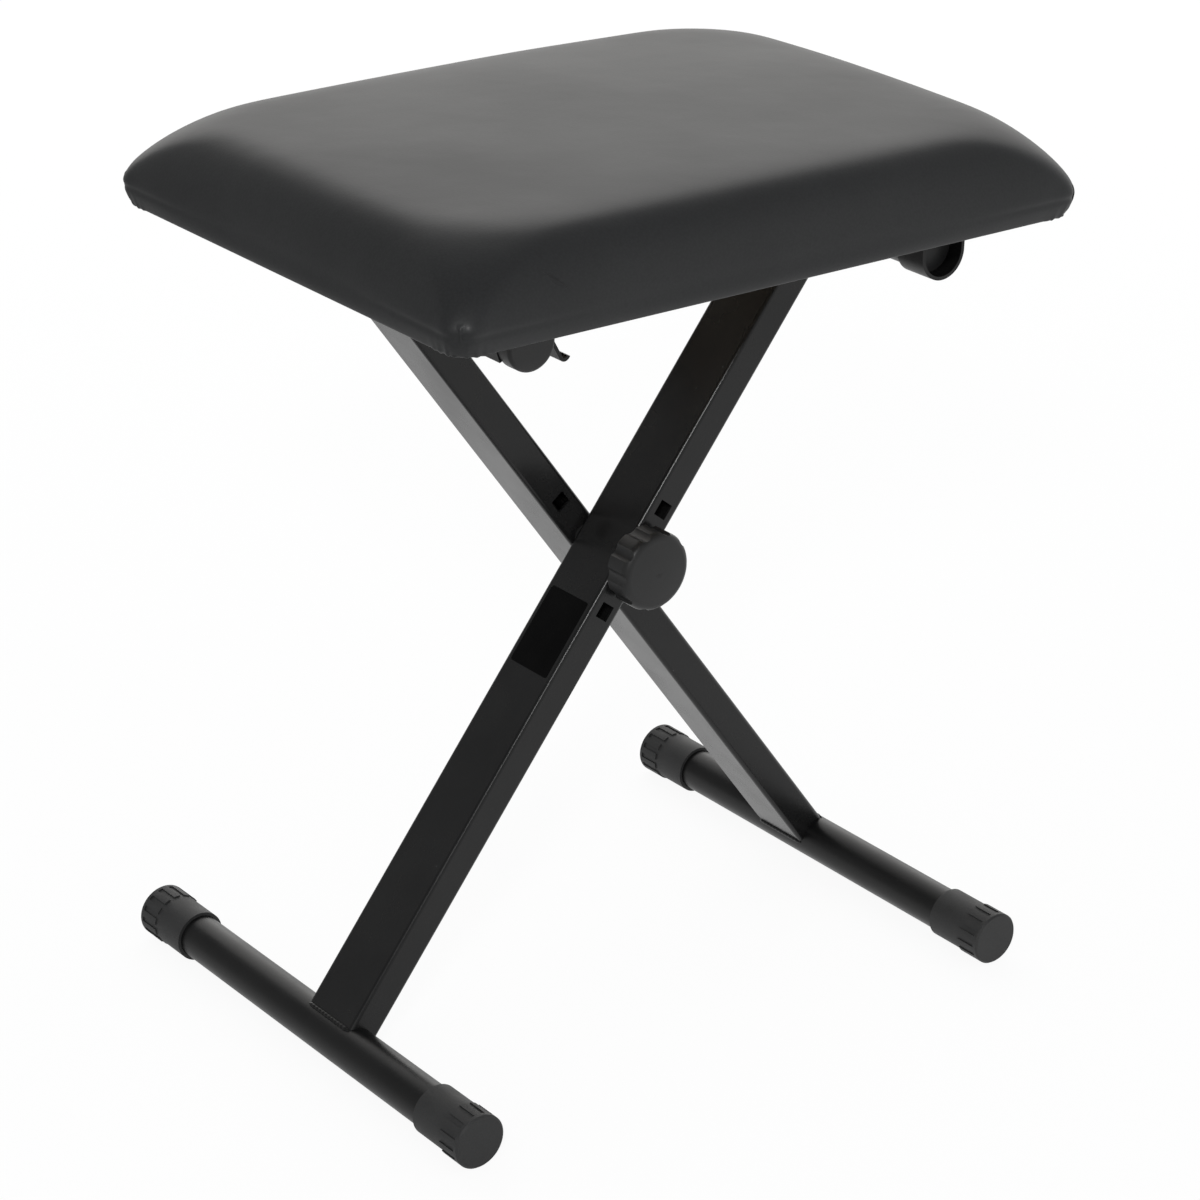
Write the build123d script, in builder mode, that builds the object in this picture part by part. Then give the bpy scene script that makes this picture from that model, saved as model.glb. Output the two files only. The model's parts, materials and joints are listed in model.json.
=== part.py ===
"""Folding keyboard bench: a padded seat on two crossed steel legs, held at the crossing by a hand knob.

Millimetres and degrees. +X runs along the seat, -Y is the front (the knob's side), +Z is up.
The origin is on the floor, midway between the four feet.
"""
import os
from math import asin, atan2, ceil, cos, degrees, radians, sin

from build123d import *

os.makedirs("parts", exist_ok=True)

# crossed legs, rectangular steel tube
leg_tube_width = 40.0
leg_tube_depth = 20.0
leg_tube_wall = 1.5
leg_corner_radius = 2.5
leg_gap = 1.0
upper_leg_length = 220.0
square_hole = 9.0
height_hole_pitch = 32.0
height_hole_count = 3

# stance: where the foot bars stand and where the legs cross
foot_half_span = 185.0
crossing_height = 258.0

# round steel bars welded across the ends of the legs
bar_diameter = 25.4
bar_wall = 1.5
foot_bar_length = 304.0
weld_gap = 0.1

# rubber foot caps, with a ring of raised pads and a small flat to stand on
cap_diameter = 31.0
cap_sleeve_diameter = 29.4
cap_length = 40.0
cap_end_wall = 3.0
cap_tread_length = 16.0
cap_rim_length = 3.0
cap_edge_chamfer = 1.0
cap_fit_clearance = 0.1
cap_slot_count = 14
cap_slot_width = 3.0
rest_flat_depth = 0.4

# end pieces of the top bars
bar_cap_diameter = 29.0
bar_cap_length = 9.5
bar_cap_end_wall = 3.0
bar_cap_edge_radius = 2.0
plug_flange = 2.0
plug_depth = 14.0
plug_fit_clearance = 0.1

# crossing bolt, spacer and hand knob
bolt_diameter = 8.0
bolt_head_diameter = 16.5
bolt_head_height = 4.0
bolt_head_edge_radius = 3.0
bolt_neck_length = 4.0
bolt_neck_clearance = 0.1
bolt_end_chamfer = 0.8
spacer_diameter = 18.0
spacer_clearance = 0.2
washer_diameter = 22.0
washer_thickness = 1.6
washer_bore_clearance = 0.25
clamp_clearance = 0.1
knob_diameter = 45.0
knob_height = 20.0
knob_collar_diameter = 27.0
knob_collar_height = 3.0
knob_lobe_count = 10
knob_flute_radius = 6.0
knob_flute_depth = 1.5
knob_edge_height = 5.5
knob_edge_inset = 4.6
knob_crown = 0.9
insert_diameter = 13.0
insert_length = 14.0
insert_fit_clearance = 0.05
thread_clearance = 0.05
bolt_tip_setback = 2.0
bolt_tip_room = 1.0

# seat brackets, bent and welded from steel strip
bracket_strip = 2.0
bracket_width = 20.0
bar_running_clearance = 0.3
saddle_plate_length = 64.0
saddle_hem_clearance = 4.9
saddle_overhang = 11.0
hook_cap_clearance = 0.5
hook_plate_outer = 32.0
hook_plate_inner = 40.0
hook_wrap_angle = 20.0
hook_lip_length = 5.0
hook_flare_angle = 30.0
hook_flare_clearance = 1.0
hook_flare_drop = 15.0
hook_curl_radius = 2.6
hook_curl_angle = 130.0
screw_edge_distance = 8.0
screw_diameter = 4.0
screw_length = 12.0
screw_head_diameter = 8.0
screw_head_height = 2.4
screw_hole_clearance = 0.3
screw_pilot_clearance = 0.05

# padded seat: board, foam and stretched cover
seat_shift = 3.0
board_length = 404.0
board_width = 299.0
board_thickness = 15.0
board_corner_radius = 21.0
cover_thickness = 1.2
cover_clearance = 0.2
foam_clearance = 0.5
hem_width = 18.0
cushion_height = 52.0
bulge_overhang = 4.0
skirt_swell_share = 0.7
shoulder_drop = 3.8
shoulder_inset = 30.0
shoulder_roundness = 1.45
shoulder_steps = (0.0, 0.2, 0.4, 0.6, 0.8, 0.92, 1.0)
corner_growth = 1.9
crown_inset = 40.0
crown_drop = 0.8
staple_length = 10.0
staple_width = 1.2
staple_height = 0.5
staple_spacing = 42.0
staple_corner_distance = 24.0

# places that follow from the sizes above
bar_radius = bar_diameter / 2
foot_axis_height = cap_diameter / 2 - rest_flat_depth
lean = degrees(atan2(foot_half_span, crossing_height - foot_axis_height))
lower_leg_length = (crossing_height - foot_axis_height) / cos(radians(lean))
leg_length = lower_leg_length + upper_leg_length
top_half_span = upper_leg_length * sin(radians(lean))
top_axis_height = crossing_height + upper_leg_length * cos(radians(lean))
leg_centre_offset = (leg_gap + leg_tube_width) / 2
leg_outer_face = leg_gap / 2 + leg_tube_width
plate_underside = top_axis_height + bar_radius + bar_running_clearance
board_underside = plate_underside + bracket_strip
hem_underside = board_underside - cover_thickness
washer_back = leg_outer_face + clamp_clearance
knob_back = washer_back + washer_thickness + clamp_clearance
bolt_tip = knob_back + insert_length - bolt_tip_setback
skirt_length = board_length + 2 * (cover_clearance + cover_thickness)
skirt_width = board_width + 2 * (cover_clearance + cover_thickness)
skirt_corner_radius = board_corner_radius + cover_clearance + cover_thickness
saddle_outer_end = skirt_width / 2 - hem_width - saddle_hem_clearance
top_bar_length = 2 * (saddle_outer_end - saddle_overhang)
hook_outer_end = top_bar_length / 2 - (bar_cap_length - bar_cap_end_wall) - hook_cap_clearance

FRONT, REAR = -1, 1
LEFT, RIGHT = -1, 1


def save(part, name):
    """Label a finished piece and write it."""
    part.label = name
    export_step(part, f"parts/{name}.step")


def leg_plane(side):
    """Plane across a leg at its foot bar, with its normal up the leg; side is where the leg's top leans."""
    across = (cos(radians(lean)), 0, -side * sin(radians(lean)))
    along = (side * sin(radians(lean)), 0, cos(radians(lean)))
    return Plane(origin=(-side * foot_half_span, 0, foot_axis_height), x_dir=across, z_dir=along)


def end_plane(x, y, z, end):
    """Plane across a bar or bolt that lies along Y, with its normal pointing out at that end and +Z upward."""
    return Plane(origin=(x, y, z), x_dir=(-end, 0, 0), z_dir=(0, end, 0))


def make_leg(side, centre_y):
    """One leg: rectangular tube, coped to the foot bar and the top bar, with square height holes."""
    with BuildPart() as leg:
        with BuildSketch(leg_plane(side)):
            with Locations((0, centre_y)):
                RectangleRounded(leg_tube_depth, leg_tube_width, leg_corner_radius)
                RectangleRounded(
                    leg_tube_depth - 2 * leg_tube_wall,
                    leg_tube_width - 2 * leg_tube_wall,
                    leg_corner_radius - leg_tube_wall,
                    mode=Mode.SUBTRACT,
                )
        extrude(amount=leg_length)
        with BuildSketch(Plane.XZ):
            with Locations((-side * foot_half_span, foot_axis_height), (side * top_half_span, top_axis_height)):
                Circle(bar_radius + weld_gap)
        extrude(amount=leg_outer_face + leg_gap, both=True, mode=Mode.SUBTRACT)
        with BuildSketch(Plane.XZ):
            for step in range(height_hole_count):
                along = (step - (height_hole_count - 1) / 2) * height_hole_pitch
                x = side * along * sin(radians(lean))
                z = crossing_height + along * cos(radians(lean))
                with Locations((x, z)):
                    Rectangle(square_hole, square_hole, rotation=-side * lean)
        extrude(amount=leg_outer_face + leg_gap, both=True, mode=Mode.SUBTRACT)
    return leg.part


def make_bar(x, z, length):
    """A round steel tube along Y."""
    with BuildPart() as bar:
        with BuildSketch(Plane.XZ):
            with Locations((x, z)):
                Circle(bar_radius)
                Circle(bar_radius - bar_wall, mode=Mode.SUBTRACT)
        extrude(amount=length / 2, both=True)
    return bar.part


def make_foot_cap(x, end):
    """Rubber cap pushed over a foot bar's end, with a ring of pads and a flat where it stands."""
    seat = end_plane(x, end * foot_bar_length / 2, foot_axis_height, end)
    sleeve_depth = cap_length - cap_end_wall
    tread_start = cap_end_wall - cap_tread_length
    with BuildPart() as cap:
        with BuildSketch(seat.offset(-sleeve_depth)):
            Circle(cap_sleeve_diameter / 2)
        extrude(amount=sleeve_depth)
        with BuildSketch(seat.offset(tread_start)):
            Circle(cap_diameter / 2)
        extrude(amount=cap_tread_length)
        chamfer(cap.faces().sort_by(Axis.Y)[-1 if end == REAR else 0].edges(), cap_edge_chamfer)
        with BuildSketch(seat.offset(tread_start)):
            half_step = 180 / cap_slot_count
            with PolarLocations(cap_diameter / 2, cap_slot_count, start_angle=-90 + half_step):
                Rectangle(cap_diameter - cap_sleeve_diameter, cap_slot_width)
        extrude(amount=cap_tread_length - cap_rim_length, mode=Mode.SUBTRACT)
        with BuildSketch(seat.offset(-sleeve_depth)):
            Circle(bar_radius + cap_fit_clearance)
        extrude(amount=sleeve_depth, mode=Mode.SUBTRACT)
        with BuildSketch(Plane.XY):
            with Locations((x, end * foot_bar_length / 2)):
                Rectangle(2 * cap_diameter, 4 * cap_length)
        extrude(amount=-rest_flat_depth, mode=Mode.SUBTRACT)
    return cap.part


def make_bar_cap(end):
    """Rounded cap over one end of the top bar that drops into the hooks."""
    seat = end_plane(-top_half_span, end * top_bar_length / 2, top_axis_height, end)
    sleeve_depth = bar_cap_length - bar_cap_end_wall
    with BuildPart() as cap:
        with BuildSketch(seat.offset(-sleeve_depth)):
            Circle(bar_cap_diameter / 2)
        extrude(amount=bar_cap_length)
        fillet(cap.faces().sort_by(Axis.Y)[-1 if end == REAR else 0].edges(), bar_cap_edge_radius)
        with BuildSketch(seat.offset(-sleeve_depth)):
            Circle(bar_radius + cap_fit_clearance)
        extrude(amount=sleeve_depth, mode=Mode.SUBTRACT)
    return cap.part


def make_bar_plug(end):
    """Flanged plug in one end of the top bar that turns in the saddles."""
    seat = end_plane(top_half_span, end * top_bar_length / 2, top_axis_height, end)
    with BuildPart() as plug:
        with BuildSketch(seat):
            Circle(bar_radius)
        extrude(amount=plug_flange)
        with BuildSketch(seat):
            Circle(bar_radius - bar_wall - plug_fit_clearance)
        extrude(amount=-plug_depth)
    return plug.part


def make_pivot_bolt():
    """Carriage bolt through both legs: domed head at the rear, square neck in the rear leg."""
    seat = end_plane(0, leg_outer_face, crossing_height, REAR)
    neck = square_hole - 2 * bolt_neck_clearance
    with BuildPart() as bolt:
        with BuildSketch(seat):
            Circle(bolt_head_diameter / 2)
        extrude(amount=bolt_head_height)
        fillet(bolt.faces().sort_by(Axis.Y)[-1].edges(), bolt_head_edge_radius)
        with BuildSketch(seat):
            Rectangle(neck, neck, rotation=-lean)
        extrude(amount=-bolt_neck_length)
        with BuildSketch(seat):
            Circle(bolt_diameter / 2)
        extrude(amount=-(leg_outer_face + bolt_tip))
        chamfer(bolt.faces().sort_by(Axis.Y)[0].edges(), bolt_end_chamfer)
    return bolt.part


def make_ring(outer_diameter, bore_diameter, start_y, thickness):
    """A flat ring on the crossing bolt, from start_y towards the front."""
    with BuildPart() as ring:
        with BuildSketch(end_plane(0, start_y, crossing_height, FRONT)):
            Circle(outer_diameter / 2)
            Circle(bore_diameter / 2, mode=Mode.SUBTRACT)
        extrude(amount=thickness)
    return ring.part


def make_knob():
    """Fluted hand knob with a collar at its back, a domed front and a pocket for the threaded insert."""
    back = end_plane(0, -knob_back, crossing_height, FRONT)
    rim = knob_diameter / 2
    collar = knob_collar_diameter / 2
    side_height = knob_height - knob_edge_height
    edge_rise = knob_edge_height - knob_crown
    eighth = radians(45)
    edge_top = (rim - knob_edge_inset, knob_height - knob_crown)
    edge_middle = (rim - knob_edge_inset * (1 - cos(eighth)), side_height + edge_rise * sin(eighth))
    # the domed face is a piece of a sphere centred on the knob's axis
    dome_radius = (edge_top[0] ** 2 + knob_crown**2) / (2 * knob_crown)
    half_dome = asin(edge_top[0] / dome_radius) / 2
    dome_middle = (dome_radius * sin(half_dome), knob_height - dome_radius * (1 - cos(half_dome)))
    flute_centre = rim + knob_flute_radius - knob_flute_depth
    with BuildPart() as knob:
        with BuildSketch(Plane(origin=back.origin, x_dir=(1, 0, 0), z_dir=(0, 0, -1))):
            with BuildLine():
                Polyline((0, 0), (collar, 0), (collar, knob_collar_height), (rim, knob_collar_height))
                Line((rim, knob_collar_height), (rim, side_height))
                ThreePointArc((rim, side_height), edge_middle, edge_top)
                ThreePointArc(edge_top, dome_middle, (0, knob_height))
                Line((0, knob_height), (0, 0))
            make_face()
        revolve(axis=Axis(back.origin, (0, 1, 0)))
        with BuildSketch(back.offset(knob_collar_height)):
            with PolarLocations(flute_centre, knob_lobe_count):
                Circle(knob_flute_radius)
        extrude(amount=knob_height, mode=Mode.SUBTRACT)
        with BuildSketch(back):
            Circle(insert_diameter / 2 + insert_fit_clearance)
        extrude(amount=insert_length, mode=Mode.SUBTRACT)
        with BuildSketch(back.offset(insert_length)):
            Circle(bolt_diameter / 2)
        extrude(amount=bolt_tip_room, mode=Mode.SUBTRACT)
    return knob.part


def screw_places():
    """Places of the bracket screws in plan: two through each bracket's plate."""
    places = []
    for end in (FRONT, REAR):
        saddle_y = end * (saddle_outer_end - bracket_width / 2)
        hook_y = end * (hook_outer_end - bracket_width / 2)
        reach = saddle_plate_length / 2 - screw_edge_distance
        places += [(top_half_span - reach, saddle_y), (top_half_span + reach, saddle_y)]
        places += [(-top_half_span - hook_plate_outer + screw_edge_distance, hook_y)]
        places += [(-top_half_span + hook_plate_inner - screw_edge_distance, hook_y)]
    return places


def bracket_plane(outer_end, end):
    """Upright plane at the rearmost face of a bracket, with its normal towards the front."""
    rear_face = outer_end if end == REAR else bracket_width - outer_end
    return Plane.XZ.offset(-rear_face)


def screw_circles(diameter, height):
    """A circle at every screw place, drawn level at that height."""
    with BuildSketch(Plane.XY.offset(height)) as circles:
        with Locations(*screw_places()):
            Circle(diameter / 2)
    return circles.sketch


def make_saddle(end):
    """Closed saddle: a plate under the board with a strap that wraps the bar the seat hinges on."""
    inner = bar_radius + bar_running_clearance
    outer = inner + bracket_strip
    rise = plate_underside - top_axis_height
    with BuildPart() as saddle:
        with BuildSketch(bracket_plane(saddle_outer_end, end)):
            with Locations((top_half_span, top_axis_height)):
                Circle(outer)
            with Locations((top_half_span, top_axis_height + outer / 2)):
                Rectangle(2 * outer, outer, mode=Mode.SUBTRACT)
            with Locations((top_half_span, top_axis_height + rise / 2)):
                Rectangle(2 * outer, rise)
                Rectangle(2 * inner, rise, mode=Mode.SUBTRACT)
            with Locations((top_half_span, top_axis_height)):
                Circle(inner, mode=Mode.SUBTRACT)
            with Locations((top_half_span, plate_underside + bracket_strip / 2)):
                Rectangle(saddle_plate_length, bracket_strip)
        extrude(amount=bracket_width)
        holes = screw_circles(screw_diameter + 2 * screw_hole_clearance, plate_underside)
        extrude(holes, amount=bracket_strip, mode=Mode.SUBTRACT)
    return saddle.part


def make_hook(end):
    """Open hook: its outer arm takes the bar's thrust and its flared inner arm guides the bar in and out."""
    wrap_radius = bar_radius + bar_running_clearance + bracket_strip / 2
    flare_radius = bar_radius + hook_flare_clearance + bracket_strip / 2
    wrap = radians(hook_wrap_angle)
    flare = radians(hook_flare_angle)
    plate_rise = plate_underside - top_axis_height + bracket_strip / 2
    plate_length = hook_plate_outer + hook_plate_inner
    plate_shift = (hook_plate_inner - hook_plate_outer) / 2
    axis = Vector(-top_half_span, top_axis_height)
    # outer arm: straight down, round the bar, then a short lip along the bar's way out
    arm_top = axis + Vector(-wrap_radius, plate_rise)
    arm_side = axis + Vector(-wrap_radius, 0)
    half_wrap = axis + Vector(-cos(wrap / 2), -sin(wrap / 2)) * wrap_radius
    wrap_end = axis + Vector(-cos(wrap), -sin(wrap)) * wrap_radius
    lip_end = wrap_end + Vector(sin(wrap), -cos(wrap)) * hook_lip_length
    # inner arm: a straight flare past the bar, curled outward at its tip
    down_flare = Vector(sin(flare), -cos(flare))
    nearest = axis + Vector(cos(flare), sin(flare)) * flare_radius
    flare_top = nearest - down_flare * ((plate_rise - (nearest - axis).Y) / cos(flare))
    flare_end = nearest + down_flare * (((nearest - axis).Y + hook_flare_drop) / cos(flare))
    curl_centre = flare_end + Vector(cos(flare), sin(flare)) * hook_curl_radius
    curl_points = []
    for share in (0.5, 1.0):
        turn = radians(180 + hook_flare_angle + share * hook_curl_angle)
        curl_points.append(curl_centre + Vector(cos(turn), sin(turn)) * hook_curl_radius)
    with BuildPart() as hook:
        with BuildSketch(bracket_plane(hook_outer_end, end)):
            with BuildLine() as outer_arm:
                Line(arm_top, arm_side)
                ThreePointArc(arm_side, half_wrap, wrap_end)
                Line(wrap_end, lip_end)
            trace(outer_arm.line, line_width=bracket_strip)
            with BuildLine() as inner_arm:
                Line(flare_top, flare_end)
                ThreePointArc(flare_end, *curl_points)
            trace(inner_arm.line, line_width=bracket_strip)
            with Locations((-top_half_span + plate_shift, plate_underside + bracket_strip / 2)):
                Rectangle(plate_length, bracket_strip)
        extrude(amount=bracket_width)
        holes = screw_circles(screw_diameter + 2 * screw_hole_clearance, plate_underside)
        extrude(holes, amount=bracket_strip, mode=Mode.SUBTRACT)
    return hook.part


def make_bracket_screws():
    """Pan-head screws that hold the brackets to the board, one solid each."""
    with BuildPart() as screws:
        extrude(screw_circles(screw_head_diameter, plate_underside), amount=-screw_head_height)
        extrude(screw_circles(screw_diameter, plate_underside), amount=screw_length)
    return screws.part


def seat_plane(height):
    """Level plane on the seat's middle, which lies a little to the right of the crossing."""
    return Plane((seat_shift, 0, height))


def make_board():
    """Plywood seat board with pilot holes for the bracket screws."""
    with BuildPart() as board:
        with BuildSketch(seat_plane(board_underside)):
            RectangleRounded(board_length, board_width, board_corner_radius)
        extrude(amount=board_thickness)
        pilots = screw_circles(screw_diameter + 2 * screw_pilot_clearance, board_underside)
        extrude(pilots, amount=screw_length - bracket_strip, mode=Mode.SUBTRACT)
    return board.part


def cushion_sections(skin):
    """Outlines of the cushion from the bulge at the board's top to the crown, lying skin inside the cover.

    Each is height above the board's underside, length, width and corner radius.
    """
    shoulder_rise = cushion_height - shoulder_drop - board_thickness
    sections = []
    for share in shoulder_steps:
        fall = 1 - (1 - share**shoulder_roundness) ** (1 / shoulder_roundness)
        sections.append((board_thickness + shoulder_rise * share, shoulder_inset * fall))
    sections.append((cushion_height - crown_drop, shoulder_inset + crown_inset / 2))
    sections.append((cushion_height, shoulder_inset + crown_inset))
    outlines = []
    for height, inset in sections:
        growth = 2 * (bulge_overhang - inset - skin)
        corner = skirt_corner_radius + corner_growth * min(inset, shoulder_inset) - skin
        lowered = skin * (height - board_thickness) / (cushion_height - board_thickness)
        outlines.append((height - lowered, skirt_length + growth, skirt_width + growth, corner))
    return outlines


def level_outlines(outlines):
    """Level rounded rectangles at their heights above the board's underside."""
    sketches = []
    for height, length, width, corner in outlines:
        with BuildSketch(seat_plane(board_underside + height)) as outline:
            RectangleRounded(length, width, corner)
        sketches.append(outline.sketch)
    return sketches


def make_foam():
    """Foam block, crowned and drawn in from its widest line at the board's top edge."""
    with BuildPart() as foam:
        loft(level_outlines(cushion_sections(cover_thickness + foam_clearance)), ruled=True)
    return foam.part


def make_cover():
    """Stretched cover: crowned top, sides drawn in to the board's edge and a hem turned under it."""
    halfway = board_thickness / 2
    skirt = (skirt_length, skirt_width, skirt_corner_radius)
    swell = 2 * skirt_swell_share * bulge_overhang
    swelled = (skirt_length + swell, skirt_width + swell, skirt_corner_radius)
    inside = 2 * cover_thickness
    with BuildPart() as cover:
        outer = [(-cover_thickness, *skirt), (halfway, *swelled)]
        loft(level_outlines(outer + cushion_sections(0.0)), ruled=True, clean=False)
        inner = []
        for height, (length, width, corner) in ((0.0, skirt), (halfway, swelled)):
            inner.append((height, length - inside, width - inside, corner - cover_thickness))
        cavity = level_outlines(inner + cushion_sections(cover_thickness))
        loft(cavity, ruled=True, clean=False, mode=Mode.SUBTRACT)
        with BuildSketch(seat_plane(hem_underside)):
            window_corner = skirt_corner_radius - hem_width
            RectangleRounded(skirt_length - 2 * hem_width, skirt_width - 2 * hem_width, window_corner)
        extrude(amount=cover_thickness, clean=False, mode=Mode.SUBTRACT)
    return cover.part


def make_staples():
    """Staple crowns along the middle of the hem, one solid each."""
    middle_x = skirt_length / 2 - hem_width / 2
    middle_y = skirt_width / 2 - hem_width / 2
    run_x = middle_x - staple_corner_distance
    run_y = middle_y - staple_corner_distance
    count_x = ceil(2 * run_x / staple_spacing) + 1
    count_y = ceil(2 * run_y / staple_spacing) + 1
    with BuildPart() as staples:
        with BuildSketch(seat_plane(hem_underside)):
            with GridLocations(2 * run_x / (count_x - 1), 2 * middle_y, count_x, 2):
                Rectangle(staple_length, staple_width)
            with GridLocations(2 * middle_x, 2 * run_y / (count_y - 1), 2, count_y):
                Rectangle(staple_width, staple_length)
        extrude(amount=-staple_height)
    return staples.part


# front leg: foot on the left, top bar on the right, turning in the saddles
save(make_leg(RIGHT, -leg_centre_offset), "front_leg")
save(make_bar(-foot_half_span, foot_axis_height, foot_bar_length), "left_foot_bar")
save(make_bar(top_half_span, top_axis_height, top_bar_length), "right_top_bar")

# rear leg: foot on the right, top bar on the left, held by the hooks
save(make_leg(LEFT, leg_centre_offset), "rear_leg")
save(make_bar(foot_half_span, foot_axis_height, foot_bar_length), "right_foot_bar")
save(make_bar(-top_half_span, top_axis_height, top_bar_length), "left_top_bar")

# pieces that come in a front and a rear copy
for end, place in ((FRONT, "front"), (REAR, "rear")):
    save(make_foot_cap(-foot_half_span, end), f"left_foot_cap_{place}")
    save(make_foot_cap(foot_half_span, end), f"right_foot_cap_{place}")
    save(make_bar_cap(end), f"left_bar_cap_{place}")
    save(make_bar_plug(end), f"right_bar_plug_{place}")
    save(make_saddle(end), f"saddle_bracket_{place}")
    save(make_hook(end), f"hook_bracket_{place}")

# crossing: bolt, spacer between the legs, washer and knob
save(make_pivot_bolt(), "pivot_bolt")
spacer_thickness = leg_gap - spacer_clearance
ring_bore = bolt_diameter + 2 * washer_bore_clearance
save(make_ring(spacer_diameter, ring_bore, leg_gap / 2, spacer_thickness), "leg_spacer")
save(make_ring(washer_diameter, ring_bore, -washer_back, washer_thickness), "knob_washer")
insert_bore = bolt_diameter + 2 * thread_clearance
save(make_ring(insert_diameter, insert_bore, -knob_back, insert_length), "knob_insert")
save(make_knob(), "knob")

# seat
save(make_board(), "seat_board")
save(make_foam(), "seat_foam")
save(make_cover(), "seat_cover")
save(make_staples(), "cover_staples")
save(make_bracket_screws(), "bracket_screws")

print("lean", round(lean, 2), "leg length", round(leg_length, 2))
print("top bar axes at x", round(top_half_span, 2), "z", round(top_axis_height, 2))
print("board underside", round(board_underside, 2), "seat top", round(board_underside + cushion_height, 2))
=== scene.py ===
# %% [markdown]
# # A folding keyboard bench, dressed in Blender
# The bench is a padded seat on two crossed steel legs, clamped at the crossing by a hand knob.
# The steel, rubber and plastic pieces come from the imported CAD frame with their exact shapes, so they only
# need finishes. What CAD can't say well is made here: the stretched cover over its foam, the weld beads
# and the light. Everything is in metres, +X along the seat, -Y to the front, +Z up.

import json
import math

import bpy
import numpy as np
from mathutils import Matrix, Vector


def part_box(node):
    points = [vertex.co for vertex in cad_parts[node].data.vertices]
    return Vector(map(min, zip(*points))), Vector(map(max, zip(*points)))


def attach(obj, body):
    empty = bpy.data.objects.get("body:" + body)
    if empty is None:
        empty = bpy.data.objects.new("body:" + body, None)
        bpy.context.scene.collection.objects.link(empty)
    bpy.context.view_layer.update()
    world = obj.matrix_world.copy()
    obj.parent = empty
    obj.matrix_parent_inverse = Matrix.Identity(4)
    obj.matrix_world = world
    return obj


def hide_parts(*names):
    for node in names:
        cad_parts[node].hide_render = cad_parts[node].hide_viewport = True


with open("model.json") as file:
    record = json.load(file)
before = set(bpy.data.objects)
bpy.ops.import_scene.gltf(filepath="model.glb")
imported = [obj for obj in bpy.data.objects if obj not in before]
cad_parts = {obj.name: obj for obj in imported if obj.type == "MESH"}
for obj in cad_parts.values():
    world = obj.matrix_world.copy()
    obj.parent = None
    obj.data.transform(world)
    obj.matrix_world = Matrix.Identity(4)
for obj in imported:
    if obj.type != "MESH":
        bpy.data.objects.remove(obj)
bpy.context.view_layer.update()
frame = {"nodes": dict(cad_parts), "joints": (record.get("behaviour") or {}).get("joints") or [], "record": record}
nodes = frame["nodes"]
scene = bpy.context.scene
scene.view_settings.view_transform = "Standard"
MM = 0.001

# %% [markdown]
# ## Camera
# A product photograph like this one is taken with a long lens from a little above the seat, so that upright
# lines hardly lean together. The place, the three angles and the lens were worked out from the edges of the
# legs and the four feet. Building the camera's axes from yaw, pitch and roll keeps each angle readable;
# a Track To constraint would be shorter, but it can't hold the slight roll.

# %% Camera at the photograph's angle
camera_place = Vector((-1.1428, -1.4321, 1.0259))
camera_yaw = 0.6776
camera_pitch = -0.4142
camera_roll = 0.0268
camera_lens_mm = 107.91
sensor_width_mm = 36.0

forward = Vector((
    math.sin(camera_yaw) * math.cos(camera_pitch),
    math.cos(camera_yaw) * math.cos(camera_pitch),
    math.sin(camera_pitch),
))
level_right = Vector((math.cos(camera_yaw), -math.sin(camera_yaw), 0.0))
level_up = level_right.cross(forward)
camera_right = math.cos(camera_roll) * level_right + math.sin(camera_roll) * level_up
camera_up = math.cos(camera_roll) * level_up - math.sin(camera_roll) * level_right
camera_data = bpy.data.cameras.new("photo_camera")
camera_data.lens = camera_lens_mm
camera_data.sensor_width = sensor_width_mm
camera = bpy.data.objects.new("photo_camera", camera_data)
scene.collection.objects.link(camera)
camera.matrix_world = Matrix.Translation(camera_place) @ Matrix(
    (camera_right, camera_up, -forward)
).transposed().to_4x4()
scene.camera = camera
print("camera:", round(camera_place.length, 2), "m from the origin, lens", camera_lens_mm, "mm")

# %% [markdown]
# ## White studio
# The bench stands on a white sweep. Black paint and leatherette show mostly what they mirror, so the
# surroundings matter more than the lamps: the floor and the sweep behind it are white to the camera, and
# mirrored rays see them shaded towards the left and under a dim ceiling, as if dark flags stood there. That
# leaves the seat's shoulders and its left side dark. The floor still takes a soft shadow, because a part of
# it stays a plain matt surface.

# %% World and floor
ambient_strength = 0.7
ambient_tint = (0.96, 0.98, 1.0, 1.0)
floor_half_size = 9.0
floor_tint = (0.86, 0.86, 0.86, 1.0)
floor_white_share = 0.92
sweep_top = 0.16
ceiling_start = 0.84
ceiling_tone = (0.28, 0.285, 0.30, 1.0)
world_shade = (-0.7, 0.25, 0.42)
floor_shade = (-0.5, 0.05, 0.45)


def seen_directly(tree):
    """1 for camera, mirrored and transmitted rays, and 0 for rays that only gather light."""
    path = tree.nodes.new("ShaderNodeLightPath")
    seen = path.outputs["Is Camera Ray"]
    for ray in ("Is Glossy Ray", "Is Transmission Ray"):
        larger = tree.nodes.new("ShaderNodeMath")
        larger.operation = "MAXIMUM"
        tree.links.new(seen, larger.inputs[0])
        tree.links.new(path.outputs[ray], larger.inputs[1])
        seen = larger.outputs[0]
    return seen


def shaded_left(tree, place_x, shade):
    """A factor that rises along X from the shade's dimmest value at its left to 1 at its right."""
    left, right, dimmest = shade
    rise = tree.nodes.new("ShaderNodeMapRange")
    rise.interpolation_type = "SMOOTHSTEP"
    rise.inputs["From Min"].default_value = left
    rise.inputs["From Max"].default_value = right
    rise.inputs["To Min"].default_value = dimmest
    tree.links.new(place_x, rise.inputs["Value"])
    return rise.outputs["Result"]


def white_to_camera(tree, tone):
    """A tone for mirrored rays that is white for camera rays."""
    lighter = tree.nodes.new("ShaderNodeVectorMath")
    lighter.operation = "MAXIMUM"
    tree.links.new(tone, lighter.inputs[0])
    tree.links.new(tree.nodes.new("ShaderNodeLightPath").outputs["Is Camera Ray"], lighter.inputs[1])
    return lighter.outputs[0]


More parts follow.
